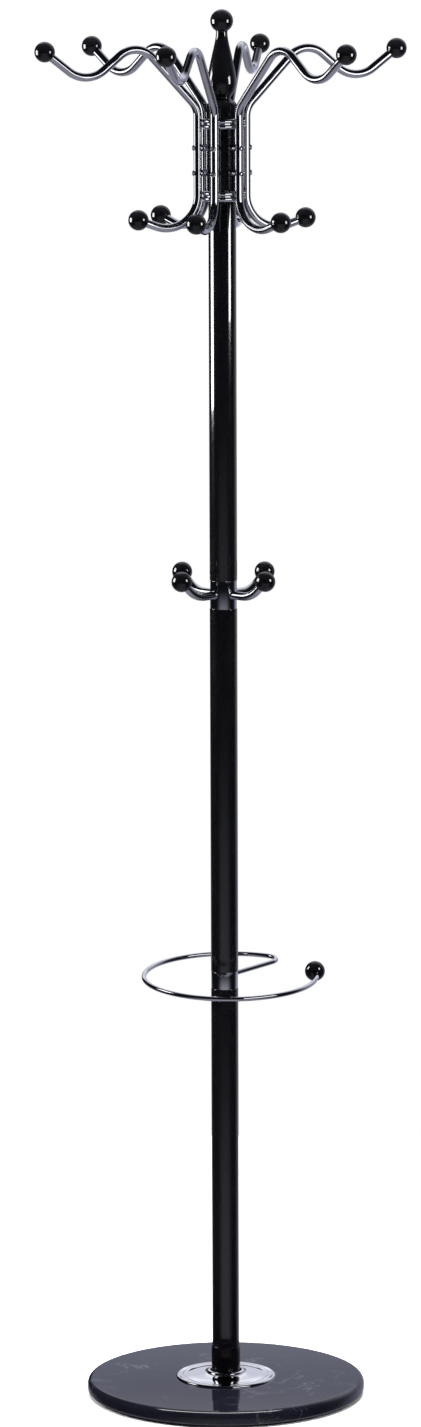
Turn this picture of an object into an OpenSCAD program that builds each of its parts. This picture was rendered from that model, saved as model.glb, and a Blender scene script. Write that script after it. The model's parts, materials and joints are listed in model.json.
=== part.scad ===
// Standing coat rack: a three-tube pole on a stone base, with an umbrella ring, four middle
// hooks and a swivelling head of six S-shaped arms. Millimetres, +Z up. The origin is on the
// floor under the pole's axis, the front is -Y and the umbrella ring's ball is on the +X side.

/* [Base] */
// Diameter of the stone base
base_d = 356; // [300:1:428]
// Thickness of the stone base
base_t = 18; // [15:1:30]
// Radius of the base's rounded top edge
base_top_round = 8; // [3:0.5:9]
// Radius of the base's rounded bottom edge
base_low_round = 5; // [2:0.5:6]
// Height of the rubber feet
feet_h = 3; // [2:0.5:6]
// Diameter of each rubber foot
feet_d = 26; // [16:1:36]
// Diameter of the chrome cover flange
flange_d = 128; // [106:1:156]
// Height of the flange's boss around the ferrule
flange_h = 9; // [7.5:0.5:11]
// Sheet thickness of the flange
flange_t = 1.5; // [1:0.1:2.5]
// Height of the plastic ferrule that holds the foot of the pole
ferrule_h = 41; // [33:1:50]
// Wall of the ferrule around the tube
ferrule_wall = 1; // [0.8:0.1:2]
// Free space between the ferrule and the flange
ferrule_gap = 2; // [1:0.5:4]

/* [Pole] */
// Outside diameter of the pole's tubes
tube_d = 34.8; // [30:0.1:42]
// Wall of the pole's tubes
tube_wall = 1.5; // [1:0.1:2]
// Length of the lower tube
lower_tube_l = 506; // [422:1:608]
// Length of the middle tube
middle_tube_l = 466; // [388:1:560]
// Length of the upper tube
upper_tube_l = 475; // [396:1:570]
// Height of the collar that carries the umbrella ring
ring_collar_h = 22; // [18:1:27]
// Height of the collar that carries the middle hooks
hook_collar_h = 36; // [30:1:44]
// Step from the tube's face in to the collar's face
collar_step = 0.3; // [0:0.1:1]
// Length of the plugs in the tube ends
plug_l = 28; // [23:1:34]
// Diameter of the bolt and of the studs that join the pole
stud_d = 10; // [8:1:12]

/* [Umbrella ring] */
// Diameter of the ring's rod
rod_d = 6; // [5:0.1:7.2]
// Radius of the ring to the middle of its rod
ring_r = 110; // [92:1:132]
// Distance of the ring's centre from the pole's axis, towards its ball
ring_offset = 7; // [0:1:12]
// Slope of the ring, higher at the back
ring_tilt = 4.2; // [0:0.1:6]
// Direction in which the rod leaves the collar
ring_root_angle = 48; // [30:1:60]
// Radius of the tight bend between the root and the ring
ring_bend_r = 20; // [16:1:24]
// Direction of the ring's free end, seen from its centre
ring_end_angle = 5; // [0:1:12]

/* [Hooks and arms] */
// Diameter of the tube that the hooks and arms are bent from
wire_d = 10.6; // [8.8:0.1:12.8]
// Wall of that tube
wire_wall = 1.2; // [0.8:0.1:1.6]
// Diameter of the end balls
ball_d = 25.6; // [22:0.1:31]
// Depth of the tube end in its ball
ball_grip = 9; // [7:0.5:10]
// Straight root of a middle hook, outside its collar
hook_root = 17; // [14:1:24]
// Bend radius of a middle hook
hook_bend_r = 40; // [33:1:48]
// Upward slope of a middle hook's end
hook_slope = 42; // [30:1:55]
// Straight end of a middle hook, up to its ball
hook_end = 14; // [10:1:24]
// Direction of the first middle hook
hook_angle = 45; // [0:1:90]
// Distance of the arms' upright part from the pole's axis
arm_r = 31; // [29:0.5:37]
// Length of the arms' upright part
arm_upright = 98; // [94:1:118]
// Slope at which an arm climbs from the head
arm_climb = 48; // [42:1:56]
// Bend radius at the foot of the climb
climb_bend_r = 28; // [23:1:34]
// Straight length of the climb
climb_l = 75; // [62:1:90]
// Bend radius of the arm's crest
crest_bend_r = 29; // [24:1:35]
// Slope at which the arm falls from its crest
arm_fall = 41; // [34:1:48]
// Straight length of the fall
fall_l = 27; // [22:1:33]
// Bend radius of the dip that holds a garment
dip_bend_r = 35; // [29:1:42]
// Upward slope of the arm's tip
arm_tip = 38.5; // [32:0.5:46]
// Straight length of the tip, up to its ball
tip_l = 35; // [29:1:42]
// Bend radius of the arm's lower hook
low_bend_r = 40; // [33:1:48]
// Upward slope of the lower hook's end
low_slope = 20; // [10:1:30]
// Straight end of the lower hook, up to its ball
low_end = 20; // [16:1:24]
// Turn of the two back arms about their upright parts
back_arm_turn = 5.7; // [0:0.1:8]

/* [Head] */
// Direction of the first arm at rest
head_angle = 12.5; // [0:0.5:60]
// Outside diameter of the head's sleeve
sleeve_d = 37.6; // [36:0.1:44]
// Wall of the sleeve
sleeve_wall = 2; // [1.6:0.1:3]
// Length of the sleeve
sleeve_l = 101.5; // [97:0.5:121]
// Height of each beaded trim ring
trim_h = 13.2; // [11:0.1:15.8]
// Diameter of the swivel spindle
spindle_d = 16; // [13.4:0.1:19]
// Radial running clearance between the spindle and its bushes
bush_clear = 0.05; // [0.02:0.01:0.1]
// Free height between the pole and the head
turn_gap = 0.2; // [0.1:0.1:1]
// Length of the part of a bush inside the sleeve
bush_l = 16; // [13:1:19]
// Distance between an arm's two screws
screw_pitch = 31.4; // [26:0.2:36]
// Height of the lower screws above the sleeve's foot
screw_z = 33.5; // [28:0.5:38]
// Diameter of the arm screws
screw_d = 4; // [3.4:0.1:4.8]
// Diameter of the screw heads
screw_head_d = 7.2; // [6:0.1:8.6]
// Height of the screw heads
screw_head_h = 1.9; // [1.4:0.1:2.6]

/* [Cap and finial] */
// Diameter of the cap
cap_d = 38.6; // [37:0.1:46]
// Height of the cap
cap_h = 22.6; // [19:0.1:27]
// Radius of the cap's shoulder
cap_round = 9; // [6:0.5:11]
// Height of the finial's vase, up to the middle of its ball
vase_h = 98; // [82:1:117]
// Greatest diameter of the vase
vase_d = 36; // [30:0.5:43]
// Diameter of the vase's slender neck, under the ball
neck_d = 14.4; // [12:0.1:17]
// Diameter of the finial's ball
finial_ball_d = 28.6; // [24:0.1:34]

/* [Hidden] */
$fn = 96;
arm_count = 6;
hook_count = 4;
foot_count = 5;
arms = [1 : arm_count];
hooks = [1 : hook_count];

black = [0.06, 0.06, 0.07];
marble = [0.09, 0.09, 0.10];
silver = [0.80, 0.81, 0.83];
steel = [0.55, 0.56, 0.58];
nylon = [0.86, 0.85, 0.80];
rubber = [0.12, 0.12, 0.12];

tube_r = tube_d / 2;
tube_bore_r = tube_r - tube_wall;
stud_r = stud_d / 2;
stud_hole_r = stud_r + 0.5;
collar_r = tube_r - collar_step;
wire_r = wire_d / 2;
wire_bore_r = wire_r - wire_wall;
rod_r = rod_d / 2;
bend_swell = 0.02;     // a bend's wall is this much thicker than a straight's, on each face
bend_lap = 0.3;        // a straight runs this far into the bend next to it
ball_r = ball_d / 2;
root_reach = 8.5;      // how near the axis a hook's root comes inside its collar
rod_reach = 8;         // the same for the umbrella ring's rod

// Heights, from the floor up
base_top = feet_h + base_t;
ferrule_floor = 3;
lower_tube_z = base_top + ferrule_floor;
ring_collar_z = lower_tube_z + lower_tube_l;
middle_tube_z = ring_collar_z + ring_collar_h;
hook_collar_z = middle_tube_z + middle_tube_l;
upper_tube_z = hook_collar_z + hook_collar_h;
socket_lip = 2;
socket_z = upper_tube_z + upper_tube_l;
head_z = socket_z + socket_lip + turn_gap;
bush_flange = 2;
sleeve_z = head_z + bush_flange;
sleeve_top = sleeve_z + sleeve_l;
cap_z = sleeve_top;
finial_z = cap_z + cap_h;

// Foot of the pole
washer_t = 2;
washer_r = 16;
bolt_head_h = 6.4;
bolt_head_r = 9.2;
bolt_pocket_r = washer_r + 1.5;
bolt_pocket = washer_t + bolt_head_h + 0.6;
washer_z = feet_h + bolt_pocket - washer_t;
feet_circle_r = base_d / 2 - base_low_round - feet_d / 2 - 6;
ferrule_r = tube_r + ferrule_wall;
flange_hole_r = ferrule_r + ferrule_gap;
flange_rim_r = 3;      // half-height of the flange's rolled rim

// Umbrella ring: the tight bend touches the root's line and the ring's inside
ring_z = ring_collar_z + 0.68 * ring_collar_h;
ring_lead = asin((ring_bend_r + ring_offset * sin(ring_root_angle)) / (ring_r - ring_bend_r));
ring_start_angle = ring_root_angle + ring_lead;
ring_root_l = ring_offset * cos(ring_root_angle) + (ring_r - ring_bend_r) * cos(ring_lead);
ring_bend_turn = 90 + ring_lead;
ring_turn = 360 + ring_end_angle - ring_start_angle;
ring_end_l = ball_grip + 1;     // straight, so that the ball's bore fits it

// Bent paths as [straight length, bend radius, bend angle], a positive angle to the left
ring_path = [
    [ring_root_l - rod_reach, ring_bend_r, ring_bend_turn],
    [0, ring_r, ring_turn],
    [ring_end_l, 0, 0],
];
hook_path = [
    [collar_r - root_reach + hook_root, hook_bend_r, hook_slope],
    [hook_end, 0, 0],
];
arm_up_path = [
    [arm_upright, climb_bend_r, arm_climb - 90],
    [climb_l, crest_bend_r, -arm_climb - arm_fall],
    [fall_l, dip_bend_r, arm_fall + arm_tip],
    [tip_l, 0, 0],
];
arm_low_path = [
    [0, low_bend_r, 90 + low_slope],
    [low_end, 0, 0],
];

// Head
sleeve_r = sleeve_d / 2;
sleeve_bore_r = sleeve_r - sleeve_wall;
spindle_r = spindle_d / 2;
bush_bore_r = spindle_r + bush_clear;
trim_r = arm_r - wire_r - 0.1;
trim_bead_r = trim_h / 4;
low_trim_z = head_z + 0.2;
top_trim_z = sleeve_top - trim_h;
top_bush_z = sleeve_top - trim_h - bush_l + 1;
swivel_nut_z = top_bush_z + bush_l + turn_gap;
swivel_nut_h = 7;
swivel_nut_r = spindle_r + 4.6;
spindle_top = swivel_nut_z + swivel_nut_h + 1.5;
spigot_wall = 1.8;
spigot_h = 8;
spindle_room = spindle_top + 1.2;
arm_z = head_z + 7.5;
screw_hole_r = screw_d / 2 + 0.1;
screw_head_r = screw_head_d / 2;
spacer_r = screw_head_r + 0.6;
nut_w = 7;
nut_t = 3.2;
nut_face = sqrt(sleeve_bore_r * sleeve_bore_r - nut_w * nut_w / 4);
screw_tip = nut_face - nut_t - 1;
screw_heights = [sleeve_z + screw_z, sleeve_z + screw_z + screw_pitch];
finial_stem_r = 4;
finial_stem_l = 10;
cap_r = cap_d / 2;
finial_ball_r = finial_ball_d / 2;

// ---- Shapes that repeat ----

// A hollow round bar along +Z
module tube(r, bore_r, h) {
    difference() {
        cylinder(r = r, h = h);
        translate([0, 0, -1]) cylinder(r = bore_r, h = h + 2);
    }
}

// The cross-section of a bent bar: solid when its bore is 0
module section(r, bore_r) {
    if (bore_r > 0) {
        difference() {
            circle(r);
            circle(bore_r);
        }
    } else {
        circle(r);
    }
}

// A bent bar that starts at the origin along +X and bends in the XY plane
module bent_bar(path, r, bore_r = 0, i = 0) {
    if (i < len(path)) {
        run = path[i][0];
        bend = path[i][1];
        turn = path[i][2];
        side = turn < 0 ? -1 : 1;
        if (run > 0) {
            lap_before = i > 0 ? bend_lap : 0;
            lap_after = bend > 0 ? bend_lap : 0;
            translate([-lap_before, 0, 0]) rotate([90, 0, 90])
                linear_extrude(lap_before + run + lap_after) section(r, bore_r);
        }
        translate([run, 0, 0]) {
            if (bend > 0) {
                swell = bend_swell * (1 + i % 2);
                translate([0, side * bend, 0])
                    rotate([0, 0, turn < 0 ? 90 + turn : -90])
                        rotate_extrude(angle = abs(turn))
                            translate([bend, 0]) section(r + swell, bore_r - swell);
            }
            translate([0, side * bend, 0]) rotate([0, 0, turn]) translate([0, -side * bend, 0])
                bent_bar(path, r, bore_r, i + 1);
        }
    }
}

// The children carried to the end of a path, with +X along the bar there
module at_end(path, i = 0) {
    if (i < len(path)) {
        side = path[i][2] < 0 ? -1 : 1;
        bend = path[i][1];
        translate([path[i][0], side * bend, 0])
            rotate([0, 0, path[i][2]]) translate([0, -side * bend, 0])
                at_end(path, i + 1) children();
    } else {
        children();
    }
}

// A ball pushed onto a bar that ends at the origin and came along +X
module end_ball(bar_r) {
    difference() {
        translate([ball_r - ball_grip, 0, 0]) sphere(ball_r);
        rotate([0, -90, 0]) cylinder(r = bar_r, h = ball_d);
    }
}

// A plug in the end of a tube, drilled through for a bolt or stud
module tube_plug(z, hole_r) {
    color(steel) translate([0, 0, z]) tube(tube_bore_r, hole_r, plug_l);
}

// Points of an arc from angle a0 to angle a1
function arc(cx, cy, r, a0, a1, n = 12) =
    [for (i = [0 : n]) let (a = a0 + (a1 - a0) * i / n) [cx + r * cos(a), cy + r * sin(a)]];

// Points of a smooth curve through p, n steps between each pair
function curve(p, n = 6) =
    concat(
        [for (i = [0 : len(p) - 2], k = [0 : n - 1])
            let (
                a = p[max(i - 1, 0)],
                b = p[i],
                c = p[i + 1],
                d = p[min(i + 2, len(p) - 1)],
                t = k / n
            )
            0.5 * (2 * b + (c - a) * t + (2 * a - 5 * b + 4 * c - d) * t * t
                + (3 * b - a - 3 * c + d) * t * t * t)],
        [p[len(p) - 1]]
    );

// ---- Base ----

module marble_base() {
    outline = concat(
        [[0, 0]],
        arc(base_d / 2 - base_low_round, base_low_round, base_low_round, -90, 0),
        arc(base_d / 2 - base_top_round, base_t - base_top_round, base_top_round, 0, 90),
        [[0, base_t]]
    );
    color(marble) translate([0, 0, feet_h]) difference() {
        rotate_extrude() polygon(outline);
        translate([0, 0, -1]) cylinder(r = stud_hole_r, h = base_t + 2);
        translate([0, 0, -1]) cylinder(r = bolt_pocket_r, h = bolt_pocket + 1);
    }
}

module base_feet() {
    color(rubber) for (i = [1 : foot_count])
        rotate([0, 0, 90 + i * 360 / foot_count]) translate([feet_circle_r, 0, 0])
            cylinder(d = feet_d, h = feet_h);
}

module base_washer() {
    color(steel) translate([0, 0, washer_z]) tube(washer_r, stud_hole_r, washer_t);
}

module base_bolt() {
    color(steel) {
        translate([0, 0, washer_z - bolt_head_h])
            cylinder(r = bolt_head_r, h = bolt_head_h, $fn = 6);
        translate([0, 0, washer_z - 1]) cylinder(r = stud_r, h = lower_tube_z + 24 - washer_z);
    }
}

// A pressed cover with a rolled rim and a rounded boss around the ferrule
module base_flange() {
    rim_r = flange_d / 2 - flange_rim_r;
    boss_r = flange_hole_r + 7;
    dome = curve([
        [rim_r, flange_rim_r],
        [rim_r - 4, flange_rim_r * 0.75],
        [(rim_r + boss_r) / 2, flange_h * 0.40],
        [boss_r, flange_h * 0.58],
        [flange_hole_r + 3, flange_h * 0.92],
        [flange_hole_r + 1, flange_h],
        [flange_hole_r, flange_h * 0.96],
    ]);
    under = [for (i = [len(dome) - 1 : -1 : 0]) [dome[i][0], dome[i][1] - flange_t]];
    color(silver) translate([0, 0, base_top]) rotate_extrude() {
        polygon(concat(dome, under));
        intersection() {
            translate([rim_r, 0]) circle(flange_rim_r);
            translate([rim_r - flange_rim_r, 0]) square([2 * flange_rim_r, flange_rim_r]);
        }
    }
}

// A cup that holds the foot of the lower tube on the stone
module bottom_ferrule() {
    color(black) translate([0, 0, base_top]) difference() {
        cylinder(r = ferrule_r, h = ferrule_h);
        translate([0, 0, ferrule_floor]) cylinder(r = tube_r, h = ferrule_h);
        translate([0, 0, -1]) cylinder(r = stud_hole_r, h = ferrule_h);
    }
}

// ---- Pole ----

module bottom_plug() {
    tube_plug(lower_tube_z, stud_r);
}

module lower_tube() {
    color(black) translate([0, 0, lower_tube_z]) tube(tube_r, tube_bore_r, lower_tube_l);
}

module lower_tube_plug() {
    tube_plug(ring_collar_z - plug_l, stud_r);
}

module ring_stud() {
    color(steel) translate([0, 0, ring_collar_z - plug_l + 4])
        cylinder(r = stud_r, h = ring_collar_h + 2 * plug_l - 8);
}

module ring_collar() {
    color(silver) difference() {
        translate([0, 0, ring_collar_z]) tube(collar_r, stud_r, ring_collar_h);
        in_ring_plane() rotate([0, 90, 0]) cylinder(r = rod_r, h = tube_d);
    }
}

module middle_tube_low_plug() {
    tube_plug(middle_tube_z, stud_r);
}

module middle_tube() {
    color(black) translate([0, 0, middle_tube_z]) tube(tube_r, tube_bore_r, middle_tube_l);
}

module middle_tube_top_plug() {
    tube_plug(hook_collar_z - plug_l, stud_r);
}

module hook_stud() {
    color(steel) translate([0, 0, hook_collar_z - plug_l + 4])
        cylinder(r = stud_r, h = hook_collar_h + 2 * plug_l - 8);
}

module hook_collar() {
    color(silver) difference() {
        translate([0, 0, hook_collar_z]) tube(collar_r, stud_r, hook_collar_h);
        for (i = hooks) in_hook_plane(i) rotate([0, 90, 0]) cylinder(r = wire_r, h = tube_d);
    }
}

module upper_tube_plug() {
    tube_plug(upper_tube_z, stud_r);
}

module upper_tube() {
    color(black) translate([0, 0, upper_tube_z]) tube(tube_r, tube_bore_r, upper_tube_l);
}

// ---- Umbrella ring ----

// The rod's start inside the collar, with +X along it and +Z square to the sloping ring
module in_ring_plane() {
    translate([0, 0, ring_z]) rotate([ring_tilt, 0, 0]) rotate([0, 0, ring_root_angle])
        translate([rod_reach, 0, 0]) children();
}

module umbrella_ring() {
    color(silver) in_ring_plane() bent_bar(ring_path, rod_r);
}

module umbrella_ring_ball() {
    color(black) in_ring_plane() at_end(ring_path) end_ball(rod_r);
}

// ---- Middle hooks ----

// A hook's start inside the collar, with +X outwards and +Y up
module in_hook_plane(i) {
    translate([0, 0, hook_collar_z + hook_collar_h / 2])
        rotate([90, 0, hook_angle + (i - 1) * 360 / hook_count])
            translate([root_reach, 0, 0]) children();
}

module hook(i) {
    color(silver) in_hook_plane(i) bent_bar(hook_path, wire_r, wire_bore_r);
}

module hook_ball(i) {
    color(black) in_hook_plane(i) at_end(hook_path) end_ball(wire_r);
}

// ---- Swivel ----

// The lipped plug in the top of the pole that holds the spindle
module spindle_socket() {
    color(black) difference() {
        union() {
            translate([0, 0, socket_z - plug_l]) cylinder(r = tube_bore_r, h = plug_l);
            translate([0, 0, socket_z]) cylinder(r = tube_r, h = socket_lip);
        }
        translate([0, 0, socket_z - plug_l - 1]) cylinder(r = spindle_r, h = 2 * plug_l);
    }
}

module spindle() {
    foot = socket_z - plug_l;
    color(steel) translate([0, 0, foot]) cylinder(r = spindle_r, h = spindle_top - foot);
}

// A flanged nut that keeps the head on its spindle
module swivel_nut() {
    flange_part = 1.6;
    color(steel) translate([0, 0, swivel_nut_z]) difference() {
        union() {
            cylinder(r = swivel_nut_r, h = flange_part);
            translate([0, 0, flange_part])
                cylinder(r = swivel_nut_r - 0.4, h = swivel_nut_h - flange_part, $fn = 6);
        }
        translate([0, 0, -1]) cylinder(r = spindle_r, h = swivel_nut_h + 2);
    }
}

// A bush pressed into the foot of the sleeve, whose flange carries the head
module low_bush() {
    color(nylon) translate([0, 0, head_z]) difference() {
        union() {
            cylinder(r = sleeve_r - 0.6, h = bush_flange);
            cylinder(r = sleeve_bore_r, h = bush_flange + bush_l);
        }
        translate([0, 0, -1]) cylinder(r = bush_bore_r, h = bush_flange + bush_l + 2);
    }
}

module top_bush() {
    color(nylon) translate([0, 0, top_bush_z]) tube(sleeve_bore_r, bush_bore_r, bush_l);
}

// ---- Head ----

module head_sleeve() {
    color(black) difference() {
        translate([0, 0, sleeve_z]) tube(sleeve_r, sleeve_bore_r, sleeve_l);
        at_screws() translate([0, 0, screw_tip]) cylinder(r = screw_hole_r, h = sleeve_d);
    }
}

// A ring with two round beads against the arms' backs, bored to thread over the sleeve
module trim_ring(z) {
    color(silver) translate([0, 0, z]) rotate_extrude() difference() {
        union() {
            translate([sleeve_r - 1, 0]) square([trim_r - trim_bead_r - sleeve_r + 2, trim_h]);
            for (k = [1, 3])
                translate([trim_r - trim_bead_r, k * trim_bead_r]) circle(trim_bead_r - 0.05);
        }
        translate([0, -1]) square([sleeve_r, trim_h + 2]);
    }
}

module low_trim_ring() {
    trim_ring(low_trim_z);
}

module top_trim_ring() {
    trim_ring(top_trim_z);
}

// A turned cap: its spigot plugs the sleeve and leaves room for the swivel nut
module head_cap() {
    outline = concat(
        [[0, 0], [cap_r, 0]],
        arc(cap_r - cap_round, cap_h - cap_round, cap_round, 0, 90),
        [[0, cap_h]]
    );
    room_h = max(spindle_room - cap_z, 0.5);
    color(black) translate([0, 0, cap_z]) difference() {
        union() {
            rotate_extrude() polygon(outline);
            translate([0, 0, -spigot_h]) cylinder(r = sleeve_bore_r, h = spigot_h + 1);
        }
        translate([0, 0, -spigot_h - 1])
            cylinder(r = sleeve_bore_r - spigot_wall, h = spigot_h + 1 + room_h);
        translate([0, 0, cap_h - finial_stem_l]) cylinder(r = finial_stem_r, h = cap_h);
    }
}

// A vase with a ball on its neck, screwed into the cap by its own stem
module finial() {
    outline = concat(
        [[0, 0]],
        curve([
            [vase_d * 0.34, 0],
            [vase_d * 0.30, vase_h * 0.035],
            [vase_d * 0.43, vase_h * 0.11],
            [vase_d * 0.50, vase_h * 0.21],
            [vase_d * 0.475, vase_h * 0.33],
            [vase_d * 0.36, vase_h * 0.54],
            [(vase_d + neck_d) * 0.173, vase_h * 0.73],
            [neck_d * 0.5, vase_h * 0.89],
            [neck_d * 0.5, vase_h],
        ]),
        [[0, vase_h]]
    );
    color(black) translate([0, 0, finial_z]) {
        rotate_extrude() polygon(outline);
        translate([0, 0, vase_h]) sphere(finial_ball_r);
        translate([0, 0, -finial_stem_l]) cylinder(r = finial_stem_r, h = finial_stem_l + 1);
    }
}

// ---- Arms ----

// The foot of an arm's upright part, with +X outwards and +Y up
module in_arm_plane(i) {
    own_turn = i == 2 || i == 3 ? back_arm_turn : 0;
    translate([0, 0, arm_z]) rotate([0, 0, head_angle + (i - 1) * 360 / arm_count])
        translate([arm_r, 0, 0]) rotate([90, 0, own_turn]) children();
}

// Every arm screw's axis, as +Z outwards from the pole's axis
module at_screws() {
    for (i = arms, z = screw_heights)
        translate([0, 0, z]) rotate([0, 90, head_angle + (i - 1) * 360 / arm_count]) children();
}

module arm(i) {
    color(silver) difference() {
        in_arm_plane(i) {
            rotate([0, 0, 90]) bent_bar(arm_up_path, wire_r, wire_bore_r);
            rotate([0, 0, -90]) bent_bar(arm_low_path, wire_r, wire_bore_r);
        }
        for (z = screw_heights)
            translate([0, 0, z]) rotate([0, 90, head_angle + (i - 1) * 360 / arm_count])
                cylinder(r = screw_hole_r, h = arm_r + wire_d);
    }
}

module arm_top_ball(i) {
    color(black) in_arm_plane(i) rotate([0, 0, 90]) at_end(arm_up_path) end_ball(wire_r);
}

module arm_low_ball(i) {
    color(black) in_arm_plane(i) rotate([0, 0, -90]) at_end(arm_low_path) end_ball(wire_r);
}

// Domed screws through the arms, spacers and sleeve
module arm_screws() {
    dome_r = screw_head_r * 0.8;
    color(steel) at_screws() {
        translate([0, 0, screw_tip]) cylinder(r = screw_d / 2, h = arm_r + wire_r - screw_tip + 0.5);
        translate([0, 0, arm_r + wire_r]) {
            cylinder(r = screw_head_r, h = screw_head_h * 0.5);
            translate([0, 0, screw_head_h * 0.5])
                cylinder(r1 = screw_head_r, r2 = dome_r, h = screw_head_h * 0.5);
        }
    }
}

// Saddled spacers between the sleeve and the arms
module arm_spacers() {
    color(silver) difference() {
        at_screws() translate([0, 0, sleeve_r - 2])
            tube(spacer_r, screw_hole_r, arm_r - sleeve_r + 2);
        translate([0, 0, sleeve_z]) cylinder(r = sleeve_r, h = sleeve_l);
        for (i = arms) in_arm_plane(i) rotate([-90, 0, 0]) cylinder(r = wire_r, h = arm_upright);
    }
}

// Square nuts inside the sleeve
module arm_nuts() {
    color(steel) at_screws() translate([0, 0, nut_face - nut_t]) difference() {
        translate([-nut_w / 2, -nut_w / 2, 0]) cube([nut_w, nut_w, nut_t]);
        translate([0, 0, -1]) cylinder(r = screw_d / 2, h = nut_t + 2);
    }
}

marble_base();
base_feet();
base_washer();
base_bolt();
base_flange();
bottom_ferrule();
bottom_plug();
lower_tube();
lower_tube_plug();
ring_stud();
ring_collar();
umbrella_ring();
umbrella_ring_ball();
middle_tube_low_plug();
middle_tube();
middle_tube_top_plug();
hook_stud();
hook_collar();
upper_tube_plug();
upper_tube();
spindle_socket();
spindle();
swivel_nut();
low_bush();
top_bush();
head_sleeve();
low_trim_ring();
top_trim_ring();
head_cap();
finial();
arm_screws();
arm_spacers();
arm_nuts();
for (i = hooks) {
    hook(i);
    hook_ball(i);
}
for (i = arms) {
    arm(i);
    arm_top_ball(i);
    arm_low_ball(i);
}
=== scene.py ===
# %% [markdown]
# # A chrome and black coat rack
#
# The real rack is a lacquered steel pole in three lengths, screwed together through chrome
# collars and bolted to a polished stone slab. Its head turns on a spindle and carries six bent
# chrome tubes with a black ball on each end. Nearly every piece was made in one of two ways: it
# was turned round an axis, or it was bent from a straight bar. So the lesson has two main
# helpers, one that spins an outline and one that carries a circle along a bend.

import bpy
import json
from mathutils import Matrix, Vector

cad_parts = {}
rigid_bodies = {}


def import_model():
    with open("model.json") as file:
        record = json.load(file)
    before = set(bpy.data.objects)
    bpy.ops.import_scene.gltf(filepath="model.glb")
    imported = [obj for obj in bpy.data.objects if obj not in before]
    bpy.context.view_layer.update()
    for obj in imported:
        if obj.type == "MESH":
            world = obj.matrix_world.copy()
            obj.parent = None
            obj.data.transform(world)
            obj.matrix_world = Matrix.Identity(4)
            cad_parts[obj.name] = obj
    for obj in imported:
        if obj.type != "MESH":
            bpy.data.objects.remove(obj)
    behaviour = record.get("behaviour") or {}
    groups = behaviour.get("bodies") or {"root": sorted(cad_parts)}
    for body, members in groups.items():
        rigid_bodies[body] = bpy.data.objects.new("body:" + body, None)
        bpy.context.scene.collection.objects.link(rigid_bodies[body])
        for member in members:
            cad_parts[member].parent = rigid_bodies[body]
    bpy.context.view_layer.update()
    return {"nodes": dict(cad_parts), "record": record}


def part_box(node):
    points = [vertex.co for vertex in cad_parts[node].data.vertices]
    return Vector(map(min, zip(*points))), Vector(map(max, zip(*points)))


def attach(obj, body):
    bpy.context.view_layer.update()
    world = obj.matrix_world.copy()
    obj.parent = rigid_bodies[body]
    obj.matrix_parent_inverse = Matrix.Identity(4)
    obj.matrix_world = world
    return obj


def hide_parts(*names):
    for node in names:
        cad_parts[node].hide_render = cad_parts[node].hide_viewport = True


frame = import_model()

# %% Modules and units
import json
import math

import bmesh
import bpy
from mathutils import Matrix, Vector

MM = 0.001
UP = Vector((0, 0, 1))

# %% [markdown]
# ## Where things are
#
# The CAD nodes give every height and radius, so a measure is read from a node's box wherever
# the box shows it. The three functions below give it in millimetres, which is how a maker would
# write a drawing. Bend radii can't be read from a box and are written out where they are used.

# %% Read heights and radii from the CAD nodes
def foot(node):
    """Height of a node's lowest point, in millimetres."""
    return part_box(node)[0].z / MM


def head(node):
    """Height of a node's highest point, in millimetres."""
    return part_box(node)[1].z / MM


def radius(node):
    """Radius of a node that is centred on the pole, in millimetres."""
    low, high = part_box(node)
    return (high.y - low.y) / 2 / MM


print("pole foot", round(foot("lower_tube"), 2), "pole top", round(head("upper_tube"), 2))

# %% [markdown]
# ## Colours and nodes
#
# Colours are written as the hex codes of a paint chart. Blender's shaders count light, so one
# function turns a code into linear values. A second small function adds a node, fills its
# sockets and links it, which keeps each finish below to a few readable lines.

# %% Helpers for the finishes
def chart(code):
    """An sRGB hex colour as linear red, green, blue and alpha."""
    parts = [int(code[k:k + 2], 16) / 255 for k in (1, 3, 5)]
    light = [c / 12.92 if c <= 0.04045 else ((c + 0.055) / 1.055) ** 2.4 for c in parts]
    return (*light, 1.0)


def add_node(tree, kind, settings, links=None):
    """Adds a node. A setting is a socket's value or the node's own property."""
    node = tree.nodes.new(kind)
    for key, value in settings.items():
        if isinstance(key, int) or key in node.inputs:
            node.inputs[key].default_value = value
        else:
            setattr(node, key, value)
    for key, output in (links or {}).items():
        tree.links.new(output, node.inputs[key])
    return node


def new_finish(name, **sockets):
    """A material with its shader's own sockets set, and its tree, shader and coordinates."""
    finish = bpy.data.materials.new(name)
    finish.use_nodes = True
    tree = finish.node_tree
    shader = tree.nodes["Principled BSDF"]
    for key, value in sockets.items():
        shader.inputs[key.replace("_", " ")].default_value = value
    place = add_node(tree, "ShaderNodeTexCoord", {}).outputs["Object"]
    return finish, tree, shader, place


finishes = {}

# %% [markdown]
# ## Chrome plate
#
# The bent tubes, collars and trim are polished steel with a bright nickel and chromium plate.
# It is a mirror with a faintly blue cast. A perfect mirror looks like glass, so the eye is
# given two flaws of the real thing: hand marks a few centimetres wide that dull it slightly,
# and the soft waviness that polishing leaves on a bent tube.

# %% Chrome plate
chrome, tree, shader, place = new_finish("polished_chrome_plate", Metallic=1.0)
handling = add_node(tree, "ShaderNodeTexNoise", {"Scale": 1 / (35 * MM), "Detail": 5.0},
                    {"Vector": place})
dulling = add_node(tree, "ShaderNodeMapRange",
                   {"From Min": 0.35, "From Max": 0.75, "To Min": 0.03, "To Max": 0.09},
                   {"Value": handling.outputs[0]})
tint = add_node(tree, "ShaderNodeMix",
                {"data_type": "RGBA", 6: chart("#dcdde2"), 7: chart("#cfd0d8")},
                {0: handling.outputs[0]})
waviness = add_node(tree, "ShaderNodeTexNoise", {"Scale": 1 / (14 * MM), "Detail": 1.0},
                    {"Vector": place})
polish = add_node(tree, "ShaderNodeBump", {"Strength": 0.12, "Distance": 0.12 * MM},
                  {"Height": waviness.outputs[0]})
tree.links.new(tint.outputs[2], shader.inputs["Base Color"])
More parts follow.
